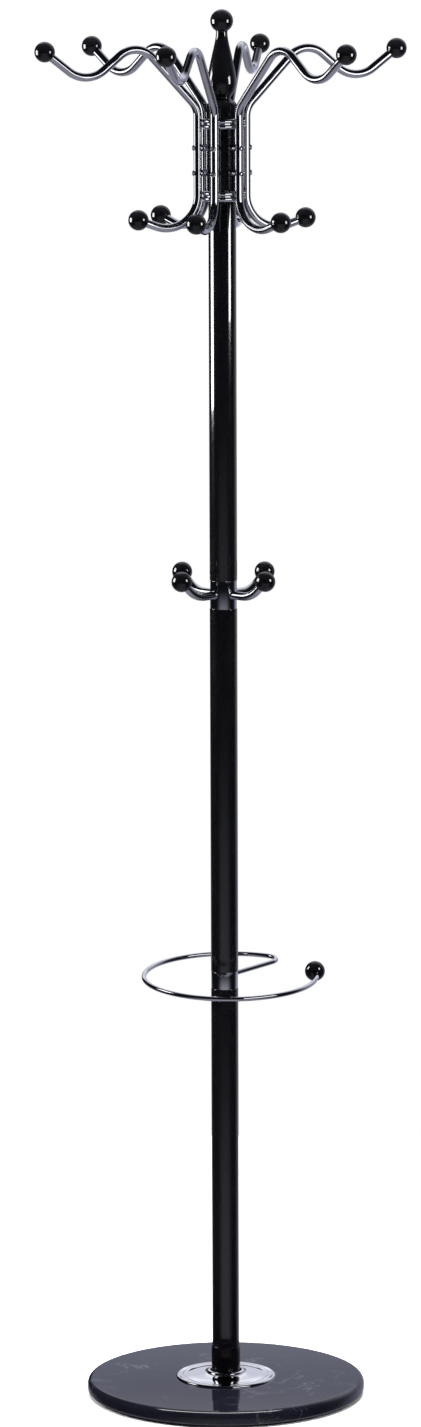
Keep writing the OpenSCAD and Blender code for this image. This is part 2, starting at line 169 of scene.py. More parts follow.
tree.links.new(dulling.outputs[0], shader.inputs["Roughness"])
tree.links.new(polish.outputs[0], shader.inputs["Normal"])
finishes["chrome"] = chrome
print("made", chrome.name)

# %% [markdown]
# ## Black lacquer
#
# The pole is steel tube sprayed with gloss black lacquer and baked. The colour is an almost
# neutral black under a clear, glassy skin, and the skin dries with orange peel: shallow bumps
# about 2 mm apart. The clear skin is the shader's coat, and the bumps go into its normal.

# %% Black lacquer
lacquer, tree, shader, place = new_finish(
    "gloss_black_lacquer", IOR=1.5, Coat_Weight=1.0, Coat_Roughness=0.03, Coat_IOR=1.5)
depth = add_node(tree, "ShaderNodeTexNoise", {"Scale": 1 / (60 * MM), "Detail": 3.0},
                 {"Vector": place})
pigment = add_node(tree, "ShaderNodeMix",
                   {"data_type": "RGBA", 6: chart("#09090b"), 7: chart("#101014")},
                   {0: depth.outputs[0]})
sheen = add_node(tree, "ShaderNodeMapRange",
                 {"From Min": 0.3, "From Max": 0.7, "To Min": 0.08, "To Max": 0.16},
                 {"Value": depth.outputs[0]})
orange_peel = add_node(tree, "ShaderNodeTexNoise", {"Scale": 1 / (2.2 * MM), "Detail": 1.0},
                       {"Vector": place})
skin = add_node(tree, "ShaderNodeBump", {"Strength": 0.06, "Distance": 0.03 * MM},
                {"Height": orange_peel.outputs[0]})
tree.links.new(pigment.outputs[2], shader.inputs["Base Color"])
tree.links.new(sheen.outputs[0], shader.inputs["Roughness"])
tree.links.new(skin.outputs[0], shader.inputs["Normal"])
tree.links.new(skin.outputs[0], shader.inputs["Coat Normal"])
finishes["black_lacquer"] = lacquer
print("made", lacquer.name)

# %% [markdown]
# ## Moulded black plastic
#
# The balls, the cap, the finial and the ferrule are moulded in black ABS. A polished mould
# gives a gloss close to lacquer but without its clear skin, so the gloss is the plastic's own.
# It has slow sink marks, and fine rubbing from hands that breaks the gloss here and there.

# %% Moulded black plastic
plastic, tree, shader, place = new_finish("moulded_black_abs", IOR=1.53)
rubbing = add_node(tree, "ShaderNodeTexNoise", {"Scale": 1 / (9 * MM), "Detail": 6.0},
                   {"Vector": place})
gloss = add_node(tree, "ShaderNodeMapRange",
                 {"From Min": 0.4, "From Max": 0.8, "To Min": 0.05, "To Max": 0.14},
                 {"Value": rubbing.outputs[0]})
colour = add_node(tree, "ShaderNodeMix",
                  {"data_type": "RGBA", 6: chart("#08080a"), 7: chart("#0e0e11")},
                  {0: rubbing.outputs[0]})
sink_marks = add_node(tree, "ShaderNodeTexNoise", {"Scale": 1 / (11 * MM), "Detail": 0.0},
                      {"Vector": place})
mould = add_node(tree, "ShaderNodeBump", {"Strength": 0.1, "Distance": 0.06 * MM},
                 {"Height": sink_marks.outputs[0]})
tree.links.new(colour.outputs[2], shader.inputs["Base Color"])
tree.links.new(gloss.outputs[0], shader.inputs["Roughness"])
tree.links.new(mould.outputs[0], shader.inputs["Normal"])
finishes["black_plastic"] = plastic
print("made", plastic.name)

# %% [markdown]
# ## Polished black marble
#
# The slab is black marble, sawn and polished. Up close it is charcoal with cloudy patches,
# crossed by thin grey veins that wander and fade. A vein is where a slow noise passes through
# its middle value, so the noise's distance from the middle draws a line of even width, and a
# second noise fades the line in and out.

# %% Polished black marble
marble, tree, shader, place = new_finish("polished_black_marble", IOR=1.5)
clouds = add_node(tree, "ShaderNodeTexNoise",
                  {"Scale": 1 / (70 * MM), "Detail": 7.0, "Roughness": 0.62}, {"Vector": place})
ground = add_node(tree, "ShaderNodeMix",
                  {"data_type": "RGBA", 6: chart("#0b0b11"), 7: chart("#191924")},
                  {0: clouds.outputs[0]})
drift = add_node(tree, "ShaderNodeTexNoise",
                 {"Scale": 1 / (120 * MM), "Detail": 5.0, "Roughness": 0.55, "Distortion": 1.4},
                 {"Vector": place})
off_middle = add_node(tree, "ShaderNodeMath", {"operation": "SUBTRACT", 1: 0.5},
                      {0: drift.outputs[0]})
distance = add_node(tree, "ShaderNodeMath", {"operation": "ABSOLUTE"}, {0: off_middle.outputs[0]})
line = add_node(tree, "ShaderNodeMapRange",
                {"From Min": 0.0, "From Max": 0.012, "To Min": 1.0, "To Max": 0.0},
                {"Value": distance.outputs[0]})
fading = add_node(tree, "ShaderNodeMapRange",
                  {"From Min": 0.5, "From Max": 0.72, "To Min": 0.0, "To Max": 0.4},
                  {"Value": clouds.outputs[0]})
vein = add_node(tree, "ShaderNodeMath", {"operation": "MULTIPLY"},
                {0: line.outputs[0], 1: fading.outputs[0]})
veined = add_node(tree, "ShaderNodeMix", {"data_type": "RGBA", 7: chart("#7c7c88")},
                  {0: vein.outputs[0], 6: ground.outputs[2]})
haze = add_node(tree, "ShaderNodeMapRange",
                {"From Min": 0.3, "From Max": 0.7, "To Min": 0.045, "To Max": 0.08},
                {"Value": clouds.outputs[0]})
tree.links.new(veined.outputs[2], shader.inputs["Base Color"])
tree.links.new(haze.outputs[0], shader.inputs["Roughness"])
finishes["marble"] = marble
print("made", marble.name)

# %% [markdown]
# ## Zinc, nylon and rubber
#
# The plugs, studs, nuts and spindle are zinc-plated steel, which is grey, soft in its shine
# and cloudy. The bushes are natural nylon, milky and waxy. The feet are black rubber, dull
# and slightly grainy. Little of this shows, but each is right when the head is taken apart.

# %% Zinc-plated steel
zinc, tree, shader, place = new_finish("zinc_plated_steel", Metallic=1.0)
spangle = add_node(tree, "ShaderNodeTexNoise", {"Scale": 1 / (4 * MM), "Detail": 4.0},
                   {"Vector": place})
plate = add_node(tree, "ShaderNodeMix",
                 {"data_type": "RGBA", 6: chart("#a3a5a8"), 7: chart("#bfc1c6")},
                 {0: spangle.outputs[0]})
satin = add_node(tree, "ShaderNodeMapRange",
                 {"From Min": 0.3, "From Max": 0.7, "To Min": 0.28, "To Max": 0.42},
                 {"Value": spangle.outputs[0]})
tree.links.new(plate.outputs[2], shader.inputs["Base Color"])
tree.links.new(satin.outputs[0], shader.inputs["Roughness"])
finishes["bare_steel"] = zinc
print("made", zinc.name)

# %% Natural nylon
nylon, tree, shader, place = new_finish("natural_nylon", IOR=1.53, Subsurface_Weight=0.15)
milk = add_node(tree, "ShaderNodeTexNoise", {"Scale": 1 / (6 * MM), "Detail": 3.0},
                {"Vector": place})
body_colour = add_node(tree, "ShaderNodeMix",
                       {"data_type": "RGBA", 6: chart("#e6e3d8"), 7: chart("#d9d5c6")},
                       {0: milk.outputs[0]})
wax = add_node(tree, "ShaderNodeMapRange", {"To Min": 0.4, "To Max": 0.55},
               {"Value": milk.outputs[0]})
tree.links.new(body_colour.outputs[2], shader.inputs["Base Color"])
tree.links.new(wax.outputs[0], shader.inputs["Roughness"])
finishes["nylon"] = nylon
print("made", nylon.name)

# %% Black rubber
rubber, tree, shader, place = new_finish("black_rubber", IOR=1.52)
grain = add_node(tree, "ShaderNodeTexNoise", {"Scale": 1 / (0.9 * MM), "Detail": 2.0},
                 {"Vector": place})
dull = add_node(tree, "ShaderNodeMapRange", {"To Min": 0.7, "To Max": 0.9},
                {"Value": grain.outputs[0]})
dust = add_node(tree, "ShaderNodeMix",
                {"data_type": "RGBA", 6: chart("#18181a"), 7: chart("#242426")},
                {0: grain.outputs[0]})
tooth = add_node(tree, "ShaderNodeBump", {"Strength": 0.3, "Distance": 0.05 * MM},
                 {"Height": grain.outputs[0]})
tree.links.new(dust.outputs[2], shader.inputs["Base Color"])
tree.links.new(dull.outputs[0], shader.inputs["Roughness"])
tree.links.new(tooth.outputs[0], shader.inputs["Normal"])
finishes["rubber"] = rubber
print("made", rubber.name)

# %% [markdown]
# ## From a bmesh to a piece
#
# Each piece takes the place of one CAD node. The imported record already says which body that
# node rides on and which finish it has, so one function looks both up. It also marks edges
# sharper than 35 degrees, so that a turned corner stays crisp and a curved face stays smooth.

# %% Turn a bmesh into a finished piece
record = frame["record"]
body_of_node = {n: b for b, nodes in record["behaviour"]["bodies"].items() for n in nodes}
slot_of_node = {row["node"]: row["material_slot"] for row in record["subparts"]}


def make_piece(bm, node):
    """Finishes a bmesh as the visible piece that stands for a CAD node."""
    bmesh.ops.remove_doubles(bm, verts=bm.verts[:], dist=0.002 * MM)
    bmesh.ops.recalc_face_normals(bm, faces=bm.faces[:])
    for face in bm.faces:
        face.smooth = True
    for edge in bm.edges:
        edge.smooth = len(edge.link_faces) == 2 and edge.calc_face_angle() < math.radians(35)
    mesh = bpy.data.meshes.new(node + "_fine")
    bm.to_mesh(mesh)
    bm.free()
    piece = bpy.data.objects.new(node + "_fine", mesh)
    bpy.context.collection.objects.link(piece)
    mesh.materials.append(finishes[slot_of_node[node]])
    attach(piece, body_of_node[node])
    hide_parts(node)


# %% [markdown]
# ## Turning
#
# A lathe cuts an outline and the work spins past it. Here the outline is a chain of vertices
# in the plane through the axis, and the spin operator carries it a full turn. Outlines are
# (radius, height) pairs in millimetres. A third value rounds that corner with a vertex bevel,
# which is quicker to read than a list of points along the curve.

# %% The lathe
def draw_outline(bm, outline, closed):
    """Lays an outline in the XZ plane and rounds its marked corners."""
    verts = [bm.verts.new((p[0] * MM, 0, p[1] * MM)) for p in outline]
    pairs = list(zip(verts, verts[1:])) + ([(verts[-1], verts[0])] if closed else [])
    for a, b in pairs:
        bm.edges.new((a, b))
    for vert, p in zip(verts, outline):
        if len(p) == 3:
            bmesh.ops.bevel(bm, geom=[vert], offset=p[2] * MM, offset_type="OFFSET",
                            segments=8, profile=0.5, affect="VERTICES", material=-1)


def turn(outline, closed=True, steps=96):
    """A bmesh turned round the Z axis. A closed outline makes a ring, an open one a solid."""
    bm = bmesh.new()
    draw_outline(bm, outline, closed)
    bmesh.ops.spin(bm, geom=bm.verts[:] + bm.edges[:], cent=(0, 0, 0), axis=UP,
                   angle=math.tau, steps=steps, use_merge=True)
    return bm


def arc(r, z, bend, start, end, count):
    """Points of an arc about (r, z), from one angle to another in degrees."""
    angles = [math.radians(start + (end - start) * k / count) for k in range(count + 1)]
    return [(r + bend * math.cos(a), z + bend * math.sin(a)) for a in angles]


def flow(points, count=8):
    """Points of a smooth line through the given ones."""
    line = []
    for k in range(len(points) - 1):
        a, b, c, d = (Vector(points[min(max(k + s, 0), len(points) - 1)]) for s in (-1, 0, 1, 2))
        for step in range(count):
            t = step / count
            line.append(tuple(0.5 * (2 * b + (c - a) * t + (2 * a - 5 * b + 4 * c - d) * t * t
                                     + (3 * b - a - 3 * c + d) * t * t * t)))
    return line + [tuple(points[-1])]


# %% [markdown]
# ## Stone slab and feet
#
# The slab is a disc with a large round on its top edge and a smaller one below, ground with a
# profile wheel. A turned outline gives that wheel's shape directly. The pocket under the slab
# lets the bolt's head sit above the floor. The feet are discs cut from a rubber strip.

# %% Stone slab
slab_foot, slab_top, slab_r = foot("marble_base"), head("marble_base"), radius("marble_base")
top_round, low_round = 8.0, 5.0
bolt_hole, pocket_r, pocket_depth = 5.5, 17.5, 9
slab = turn([(bolt_hole, slab_top), (slab_r, slab_top, top_round),
             (slab_r, slab_foot, low_round), (pocket_r, slab_foot),
             (pocket_r, slab_foot + pocket_depth), (bolt_hole, slab_foot + pocket_depth)],
            steps=160)
make_piece(slab, "marble_base")
print("slab radius", round(slab_r, 1), "thick", round(slab_top - slab_foot, 1))

# %% Rubber feet
feet = bmesh.new()
pad_r, pad_margin = 13, 6
feet_ring = slab_r - low_round - pad_r - pad_margin
for k in range(5):
    around = Matrix.Rotation(math.radians(90 + 72 * k), 4, "Z")
    middle = Matrix.Translation((feet_ring * MM, 0, slab_foot * MM / 2))
    disc = bmesh.ops.create_cone(feet, cap_ends=True, segments=40, radius1=pad_r * MM,
                                 radius2=pad_r * MM, depth=slab_foot * MM,
                                 matrix=around @ middle)
    rims = {e for v in disc["verts"] for e in v.link_edges
            if len(e.link_faces) == 2 and e.calc_face_angle() > 1}
    bmesh.ops.bevel(feet, geom=list(rims), offset=0.5 * MM, offset_type="OFFSET", segments=3,
                    profile=0.5, affect="EDGES", material=-1)
make_piece(feet, "base_feet")
print("feet on a ring of radius", round(feet_ring, 1))

# %% [markdown]
# ## Cover flange and ferrule
#
# The flange hides the joint between the pole and the stone. It is pressed from thin sheet: the
# edge is rolled under, a bead runs just inside it, the plate is dished, and the middle rises in
# a rounded boss. The top line is drawn once and dropped by the sheet's thickness for the
# underside. The ferrule is a plastic cup that the foot of the pole stands in.

# %% Cover flange
flange_r = radius("base_flange")
flange_height = head("base_flange") - slab_top
roll, sheet = 3.0, 1.5
rim = flange_r - roll
hole = radius("bottom_ferrule") + 2.0
boss = hole + 7.0
dome = flow([(rim, roll), (rim - 3, 2.0), (rim - 5, 2.1), (rim - 6.5, 2.7), (rim - 8, 2.3),
             (rim - 10, 2.4), ((rim + boss) / 2, 0.40 * flange_height),
             (boss, 0.58 * flange_height), (hole + 3, 0.92 * flange_height),
             (hole + 1, flange_height), (hole, 0.96 * flange_height)])
rolled = arc(rim, 0, roll, 0, 90, 10)
under = [(r, z - sheet) for r, z in reversed(dome)]
flange = turn([(r, slab_top + z) for r, z in rolled + dome[1:] + under + [(rim - 3, 0.0)]],
              steps=160)
make_piece(flange, "base_flange")
print("flange", round(2 * flange_r, 1), "across,", round(flange_height, 1), "high")

# %% Ferrule
cup_r, cup_top = radius("bottom_ferrule"), head("bottom_ferrule")
tube_r = radius("lower_tube")
cup_floor = slab_top + 3
cup = turn([(cup_r, slab_top), (cup_r, cup_top, 0.6), (tube_r, cup_top),
            (tube_r, cup_floor), (bolt_hole, cup_floor), (bolt_hole, slab_top)])
make_piece(cup, "bottom_ferrule")
print("ferrule", round(cup_top - slab_top, 1), "high")

# %% [markdown]
# ## Pole
#
# Three lengths of tube meet at two chrome collars. The saw leaves a square end, which is
# deburred, so each corner gets a rounding of a third of a millimetre. That small round is what
# catches a thin line of light at every joint, and without it the pole looks like one bar.

# %% Tubes and collars
tube_wall, deburr = 1.5, 0.35
for node in ("lower_tube", "middle_tube", "upper_tube"):
    r = radius(node)
    make_piece(turn([(r, foot(node), deburr), (r, head(node), deburr),
                     (r - tube_wall, head(node)), (r - tube_wall, foot(node))]), node)
    print(node, round(head(node) - foot(node), 1), "long")

collar_r, stud_r = tube_r - 0.3, 5
for node in ("ring_collar", "hook_collar"):
    make_piece(turn([(collar_r, foot(node), 0.5), (collar_r, head(node), 0.5),
                     (stud_r, head(node)), (stud_r, foot(node))]), node)
    print(node, round(head(node) - foot(node), 1), "high")

# %% Lipped plug under the head
lip_top, plug_foot = head("spindle_socket"), foot("spindle_socket")
lip_foot, plug_r, spindle_r = lip_top - 2, tube_r - tube_wall, 8
make_piece(turn([(tube_r, lip_foot, 0.3), (tube_r, lip_top, 0.6), (spindle_r, lip_top),
                 (spindle_r, plug_foot), (plug_r, plug_foot), (plug_r, lip_foot)]),
           "spindle_socket")
print("plug lip at", round(lip_top, 1))

# %% [markdown]
# ## Bending
#
# A tube bender draws a straight bar round a former, and then draws the next length straight.
# The sweep below does the same. It starts with a circle, extrudes it for a straight run and
# spins it about the former's centre for a bend. A curve object with a bevel would be shorter
# to write, but this way every bend has exactly the radius that its former gives.

# %% The tube bender
def sweep(bm, edges, heading, path, at=Vector((0, 0, 0))):
    """Carries a loop of edges along (straight, bend radius, turn) steps in the XY plane."""
    for straight, bend, turned in path:
        along = Vector((math.cos(heading), math.sin(heading), 0)) * straight * MM
        if straight:
            grown = bmesh.ops.extrude_edge_only(bm, edges=edges)["geom"]
            bmesh.ops.translate(bm, vec=along,
                                verts=[g for g in grown if isinstance(g, bmesh.types.BMVert)])
            edges = [g for g in grown if isinstance(g, bmesh.types.BMEdge)
                     and len(g.link_faces) == 1]
            at = at + along
        if bend:
            angle = math.radians(turned)
            side = math.copysign(bend * MM, turned)
            centre = at + Vector((-math.sin(heading), math.cos(heading), 0)) * side
            last = bmesh.ops.spin(bm, geom=edges, cent=centre, axis=UP, angle=angle,
                                  steps=max(6, round(abs(turned) / 3)))["geom_last"]
            edges = [g for g in last if isinstance(g, bmesh.types.BMEdge)]
            at = centre + Matrix.Rotation(angle, 3, "Z") @ (at - centre)
            heading += angle
    return edges, at, heading


def start_bar(bm, thick, heading):
    """The circle that a bar starts from, square to its heading."""
    square = Matrix.Rotation(heading, 4, "Z") @ Matrix.Rotation(math.radians(90), 4, "Y")
    bmesh.ops.create_circle(bm, cap_ends=False, radius=thick / 2 * MM, segments=36,
                            matrix=square)
    return bm.edges[:]


def close_end(bm, edges):
    """Closes a bar's open end with a flat face."""
    bmesh.ops.contextual_create(bm, geom=edges)


# %% [markdown]
# ## End balls
#
# Each ball is moulded with a blind hole and pushed onto the bar. Seen close, the hole has a
# softened lip, and that lip throws a thin dark line where ball and bar meet. So the outline
# goes up inside the hole, round the lip and over the sphere, and is turned in one piece.

# %% The ball at the end of a bar
ball_r, hole_depth = 25.6 / 2, 9.0
lip_width, lip_depth = 0.6, 0.5


def end_ball(bar, place, at, heading):
    """A ball on a bar that ends at a point of its own plane, put in place by a matrix."""
    hole_r = bar / 2
    middle = ball_r - hole_depth
    lip = -math.degrees(math.acos((hole_r + lip_width) / ball_r))
    lip_edge = middle + (ball_r - lip_depth) * math.sin(math.radians(lip))
    bm = turn([(0, 0), (hole_r, 0), (hole_r, lip_edge)]
              + arc(0, middle, ball_r, lip, 90, 36), closed=False, steps=72)
    bmesh.ops.transform(bm, verts=bm.verts[:], matrix=place @ Matrix.Translation(at)
                        @ Matrix.Rotation(heading, 4, "Z")
                        @ Matrix.Rotation(math.radians(90), 4, "Y"))
    return bm


# %% [markdown]
# ## Umbrella ring
#
# A single 6 mm rod leaves the collar, turns back in a tight bend and runs round the pole, with
# its free end capped by a ball. The tight bend touches the line of the root and the inside of
# the ring, and that contact fixes how long the root is. The plane slopes up a little at the
# back, so the ring opens towards a person standing in front.

# %% Umbrella ring
rod, ring_r, bend_r, offset = 6.0, 110.0, 20.0, 7.0
root_turn, end_turn, slope, rod_start = 48, 5, 4.2, 8.0
root_angle = math.radians(root_turn)
lead = math.asin((bend_r + offset * math.sin(root_angle)) / (ring_r - bend_r))
root = offset * math.cos(root_angle) + (ring_r - bend_r) * math.cos(lead)
ring_path = [(root - rod_start, bend_r, 90 + math.degrees(lead)),
             (0, ring_r, 360 + end_turn - root_turn - math.degrees(lead)), (10, 0, 0)]
ring_height = foot("ring_collar") + 0.68 * (head("ring_collar") - foot("ring_collar"))
ring_place = (Matrix.Translation((0, 0, ring_height * MM))
              @ Matrix.Rotation(math.radians(slope), 4, "X")
              @ Matrix.Rotation(root_angle, 4, "Z") @ Matrix.Translation((rod_start * MM, 0, 0)))
bm = bmesh.new()
loop = start_bar(bm, rod, 0)
close_end(bm, loop)
loop, at, heading = sweep(bm, loop, 0, ring_path)
close_end(bm, loop)
bmesh.ops.transform(bm, verts=bm.verts[:], matrix=ring_place)
make_piece(bm, "umbrella_ring")
make_piece(end_ball(rod, ring_place, at, heading), "umbrella_ring_ball")
print("umbrella ring", 2 * ring_r, "across at height", round(ring_height, 1))

# %% [markdown]
# ## Middle hooks
#
# Four short hooks leave the upper collar level, curve up and end in a ball. They are bent from
# the same tube as the arms, so they reuse the same bender with a shorter list of moves.

# %% Middle hooks
wire = 10.6
hook_start, hook_reach = 8.5, 17
hook_path = [(collar_r - hook_start + hook_reach, 40.0, 42.0), (14, 0, 0)]
hook_height = (foot("hook_collar") + head("hook_collar")) / 2
for k in range(4):
    hook_place = (Matrix.Translation((0, 0, hook_height * MM))
                  @ Matrix.Rotation(math.radians(45 + 90 * k), 4, "Z")
                  @ Matrix.Rotation(math.radians(90), 4, "X")
                  @ Matrix.Translation((hook_start * MM, 0, 0)))
    bm = bmesh.new()
    loop = start_bar(bm, wire, 0)
    close_end(bm, loop)
    loop, at, heading = sweep(bm, loop, 0, hook_path)
    close_end(bm, loop)
    bmesh.ops.transform(bm, verts=bm.verts[:], matrix=hook_place)
    make_piece(bm, f"hook_{k + 1}")
    make_piece(end_ball(wire, hook_place, at, heading), f"hook_ball_{k + 1}")
print("four hooks at height", round(hook_height, 1))

# %% [markdown]
# ## Arms
#
# Each arm is one tube with an upright in the middle. Going up it leans out, rises over a crest,
# falls into the dip that holds a collar or a hat, and climbs to its ball. Going down it turns
# out into a lower hook. Both ends are swept from the same starting circle, so the tube has no
# joint. The two back arms sit slightly turned about their uprights, as their screws allow.

# %% Arms
upward = [(98, 28.0, -42.0), (75, 29.0, -89.0), (27, 35.0, 79.5), (35, 0, 0)]
downward = [(0, 40.0, 110.0), (20, 0, 0)]
upright_r, first_arm, back_turn = 31.0, 12.5, 5.7
arm_foot = foot("head_sleeve") + 5.5
for k in range(6):
    own_turn = back_turn if k in (1, 2) else 0.0
    arm_place = (Matrix.Translation((0, 0, arm_foot * MM))
                 @ Matrix.Rotation(math.radians(first_arm + 60 * k), 4, "Z")
                 @ Matrix.Translation((upright_r * MM, 0, 0))
                 @ Matrix.Rotation(math.radians(own_turn), 4, "Z")
                 @ Matrix.Rotation(math.radians(90), 4, "X"))
    bm = bmesh.new()
    loop = start_bar(bm, wire, math.radians(90))
    top, top_at, top_heading = sweep(bm, loop, math.radians(90), upward)
    low, low_at, low_heading = sweep(bm, loop, math.radians(-90), downward)
    close_end(bm, top)
    close_end(bm, low)
    bmesh.ops.transform(bm, verts=bm.verts[:], matrix=arm_place)
    make_piece(bm, f"arm_{k + 1}")
    make_piece(end_ball(wire, arm_place, top_at, top_heading), f"arm_top_ball_{k + 1}")
    make_piece(end_ball(wire, arm_place, low_at, low_heading), f"arm_low_ball_{k + 1}")
print("six arms, uprights on radius", upright_r)

# %% [markdown]
# ## Head
#
# A lacquered sleeve turns on the spindle. Two beaded rings dress its ends, and between them
# the arms are screwed on, each with a pair of short spacers that keep it clear of the sleeve.

# %% Sleeve and beaded rings
sleeve_foot, sleeve_top, sleeve_r = foot("head_sleeve"), head("head_sleeve"), radius("head_sleeve")
bore_r = sleeve_r - 2
make_piece(turn([(sleeve_r, sleeve_foot, 0.4), (sleeve_r, sleeve_top, 0.4),
                 (bore_r, sleeve_top), (bore_r, sleeve_foot)]), "head_sleeve")
for node in ("low_trim_ring", "top_trim_ring"):
    z = foot(node)
    quarter = (head(node) - z) / 4
    bead = quarter - 0.05
    crown = radius(node) - bead
    beads = (arc(crown, z + quarter, bead, -90, 70, 14)
             + arc(crown, z + 3 * quarter, bead, -70, 90, 14))
    make_piece(turn([(sleeve_r, z)] + beads + [(sleeve_r, head(node))], steps=120), node)
    print(node, "bead radius", round(bead, 2))

# %% Screws and spacers
screw_heights = (sleeve_foot + 33.5, sleeve_foot + 64.9)


def on_the_arms(drawn):
    """Copies a bmesh drawn along +Z to the twelve screw places, pointing outwards."""
    pattern = bpy.data.meshes.new("pattern")
    drawn.to_mesh(pattern)
    drawn.free()
    bm = bmesh.new()
    for k in range(6):
        for height in screw_heights:
            fresh = len(bm.verts)
            bm.from_mesh(pattern)
            bm.verts.ensure_lookup_table()
            place = (Matrix.Translation((0, 0, height * MM))
                     @ Matrix.Rotation(math.radians(first_arm + 60 * k), 4, "Z")
                     @ Matrix.Rotation(math.radians(90), 4, "Y"))
            bmesh.ops.transform(bm, verts=bm.verts[fresh:], matrix=place)
    bpy.data.meshes.remove(pattern)
    return bm


face = upright_r + wire / 2
shank_r, shank_end, dome_r = 2, 12.3, 3.6
screw = turn([(0, shank_end), (shank_r, shank_end), (shank_r, face), (dome_r, face),
              (dome_r, face + 0.5, 0.3), (2.9, face + 1.5, 0.6), (1.5, face + 1.9),
              (1.3, face + 1.0), (0, face + 0.7)], closed=False, steps=28)
make_piece(on_the_arms(screw), "arm_screws")
spacer_bore, spacer_r = 2.1, 4.2
spacer_foot, spacer_top = sleeve_r - 0.2, upright_r - 3.2
spacer = turn([(spacer_bore, spacer_foot), (spacer_r, spacer_foot), (spacer_r, spacer_top),
               (spacer_bore, spacer_top)], steps=28)
make_piece(on_the_arms(spacer), "arm_spacers")
print("twelve screws and spacers")

# %% [markdown]
# ## Cap and finial
#
# The cap closes the sleeve with a rounded shoulder. The finial is one moulding: a narrow foot,
# a full vase, a slender neck and a ball. Its vase is a smooth line through nine widths up its
# height, and the ball's arc starts where the neck meets it.

# %% Cap
cap_top, cap_r, shoulder = head("head_cap"), radius("head_cap"), 9.0
make_piece(turn([(0, sleeve_top), (cap_r, sleeve_top, 0.5), (cap_r, cap_top, shoulder),
                 (0, cap_top)], closed=False), "head_cap")
print("cap", round(cap_top - sleeve_top, 1), "high")

# %% Finial
knob_r, knob_height, neck = 14.3, 98.0, 7.2
meet = -math.degrees(math.acos((neck + 0.3) / knob_r))
vase_line = flow([(12.24, 0), (10.8, 3.43), (15.48, 10.78), (18.0, 20.58), (17.1, 32.34),
                  (12.96, 52.92), (8.72, 71.54), (7.25, 81.0), (neck, 84.6)])
knob_line = arc(0, knob_height, knob_r, meet, 90, 36)
make_piece(turn([(0, cap_top)] + [(r, cap_top + z) for r, z in vase_line + knob_line],
                closed=False), "finial")
finial_top = cap_top + knob_height + knob_r
print("finial top", round(finial_top, 1), "CAD says", round(head("finial"), 1))

# %% [markdown]
# ## Inner pieces
#
# The plugs, studs, bushes, nuts and spindle keep their CAD shape, because their shape is
# already what a lathe makes and they hardly show. Each only needs its finish.

# %% Finish the inner pieces
kept = [n for n, o in frame["nodes"].items() if not o.hide_render]
for node in kept:
    mesh = frame["nodes"][node].data
    mesh.materials.clear()
    mesh.materials.append(finishes[slot_of_node[node]])
print("kept from the CAD:", ", ".join(sorted(kept)))

# %% [markdown]
# ## Studio
#
# Mirrors and black gloss show the room more than themselves, so the room is the finish. Black
# gloss sends back a twentieth of a light and chrome most of it, so one lamp can't suit both.
# Light linking gives each finish lamps of its own. Two fierce softboxes, one high on each side,
# draw the white stripes on the upper pole and the small ovals on the balls. The chrome has two
# gentle ones and a dim panel behind, and the stone has one overhead that draws the long line
# along the slab's edge. A last, large panel overhead lights every piece. That panel and the
# floor are kept out of reflections, as flags do in a real studio.

# %% Pale floor
bm = bmesh.new()
bmesh.ops.create_circle(bm, cap_ends=True, radius=1.5, segments=128)
floor_mesh = bpy.data.meshes.new("studio_floor")
bm.to_mesh(floor_mesh)
bm.free()
floor = bpy.data.objects.new("studio_floor", floor_mesh)
bpy.context.collection.objects.link(floor)
paper, tree, shader, place = new_finish("white_paper_floor", IOR=1.45, Roughness=0.9,
                                        Specular_IOR_Level=0.0)
fibre = add_node(tree, "ShaderNodeTexNoise", {"Scale": 1 / (3 * MM), "Detail": 2.0},
                 {"Vector": place})
white = add_node(tree, "ShaderNodeMix",
                 {"data_type": "RGBA", 6: chart("#f6f6f6"), 7: chart("#f3f3f3")},
                 {0: fibre.outputs[0]})
tree.links.new(white.outputs[2], shader.inputs["Base Color"])
floor_mesh.materials.append(paper)
floor.visible_glossy = False
print("floor 3 m across")

# %% Softboxes
def softbox(name, at, aim, wide, tall, bright, lights_up=None):
    """An area light that faces a point and may light only the pieces in a collection."""
    lamp = bpy.data.lights.new(name, "AREA")
    lamp.shape, lamp.size, lamp.size_y = "RECTANGLE", wide, tall
    lamp.energy = bright * math.pi * wide * tall
    holder = bpy.data.objects.new(name, lamp)
    bpy.context.collection.objects.link(holder)
    holder.location = at
    holder.rotation_mode = "QUATERNION"
    holder.rotation_quaternion = (Vector(aim) - Vector(at)).to_track_quat("-Z", "Y")
    holder.visible_camera = False
    holder.light_linking.receiver_collection = lights_up
    return holder


def beside(degrees, z, reach=2.0):
    """A place round the pole, turned from its -Y side towards +X."""
    angle = math.radians(degrees)
    return (reach * math.sin(angle), -reach * math.cos(angle), z)


plated = bpy.data.collections.new("plated_pieces")
stone = bpy.data.collections.new("stone_pieces")
black = bpy.data.collections.new("black_pieces")
linked = {chrome: plated, marble: stone}
for thing in bpy.context.collection.objects:
    if thing.type == "MESH":
        linked.get(thing.active_material, black).objects.link(thing)

for name, degrees, z, wide, tall, bright, lights_up in (
        ("left_softbox", -96, 1.57, 1.0, 1.02, 17.0, black),
        ("right_softbox", 62, 1.68, 0.62, 0.8, 17.0, black),
        ("left_chrome_softbox", -96, 1.57, 0.9, 1.02, 2.2, plated),
        ("right_chrome_softbox", 40, 1.6, 1.6, 1.0, 1.9, plated)):
    softbox(name, beside(degrees, z), (0, 0, z), wide, tall, bright, lights_up)
softbox("back_chrome_panel", (0, 2.5, 0.95), (0, 0, 0.95), 2.4, 1.3, 0.37, plated)
softbox("slab_softbox", (-0.25, -0.2, 2.6), (-0.25, -0.2, 0), 3.0, 0.45, 16.0, stone)
panel = softbox("overhead_panel", (0, 0.3, 3.2), (0, 0, 0), 2.4, 2.4, 15.0)
panel.visible_glossy = False

